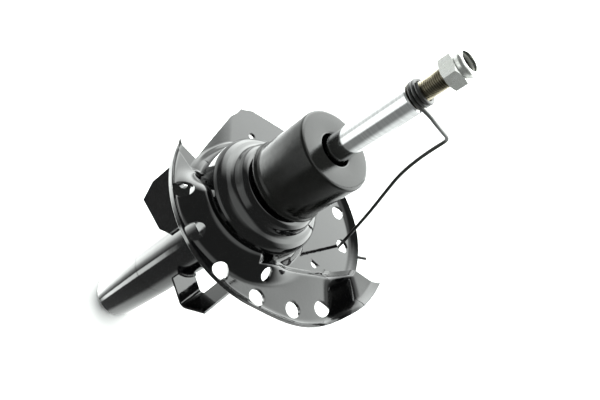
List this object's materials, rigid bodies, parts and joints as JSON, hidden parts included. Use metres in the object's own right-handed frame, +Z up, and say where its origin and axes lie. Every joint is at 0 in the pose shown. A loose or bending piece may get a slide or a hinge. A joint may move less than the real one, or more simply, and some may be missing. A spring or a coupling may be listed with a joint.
{
  "type": "suspension strut",
  "caption": "Twin-tube suspension strut with a chrome rod, an offset helical spring seat with drain holes, welded link and hose brackets, and a wire that holds the rod in.",
  "frame": {"origin": "centre of the outer tube's bottom end face", "axes": "+Z up the strut axis towards the stud; +Y towards the hose bracket, -Y towards the link bracket; the seat's tongue is at the +Y side"},
  "size_m": [0.196, 0.2016, 0.4725],
  "materials": {
    "gloss_black": "gloss",
    "satin_black_cap": "satin",
    "bright_steel": "satin",
    "sintered_steel": "matte",
    "spring_steel": "satin",
    "bronze_bush": "satin",
    "seal_rubber": "matte",
    "chrome_rod": "polished",
    "ptfe_band": "matte",
    "stop_plastic": "matte",
    "zinc_plate": "bright zinc plate",
    "nylon": "matte",
    "black_wire": "satin"
  },
  "bodies": {
    "tube_assembly": {"outer_tube": "gloss_black", "base_cup": "gloss_black", "working_cylinder": "bright_steel", "foot_valve_body": "sintered_steel", "foot_valve_discs": "spring_steel", "foot_valve_bolt": "spring_steel", "rod_guide": "sintered_steel", "guide_bush": "bronze_bush", "oil_seal": "seal_rubber", "seal_washer": "bright_steel", "closure_ring": "gloss_black", "bump_stop_cap": "satin_black_cap", "seat_neck": "gloss_black", "spring_seat": "gloss_black", "link_bracket": "gloss_black", "hose_bracket": "gloss_black"},
    "slider": {"piston_band": "ptfe_band", "transport_wire": "black_wire"},
    "rod_assembly": {"piston_rod": "chrome_rod", "piston": "sintered_steel", "compression_discs": "spring_steel", "rebound_discs": "spring_steel", "piston_nut": "zinc_plate", "rebound_ring": "bright_steel", "rebound_stop": "stop_plastic", "top_nut": "zinc_plate", "nut_insert": "nylon"}
  },
  "joints": [
    {"name": "rod_slide", "type": "slide", "parent": "tube_assembly", "child": "slider", "axis": [0, 0, 1], "range_m": [-0.07, 0.125], "deforming": ["transport_wire"]},
    {"name": "rod_spin", "type": "hinge", "parent": "slider", "child": "rod_assembly", "pos_m": [0, 0, 0.3], "axis": [0, 0, 1], "continuous": true}
  ]
}
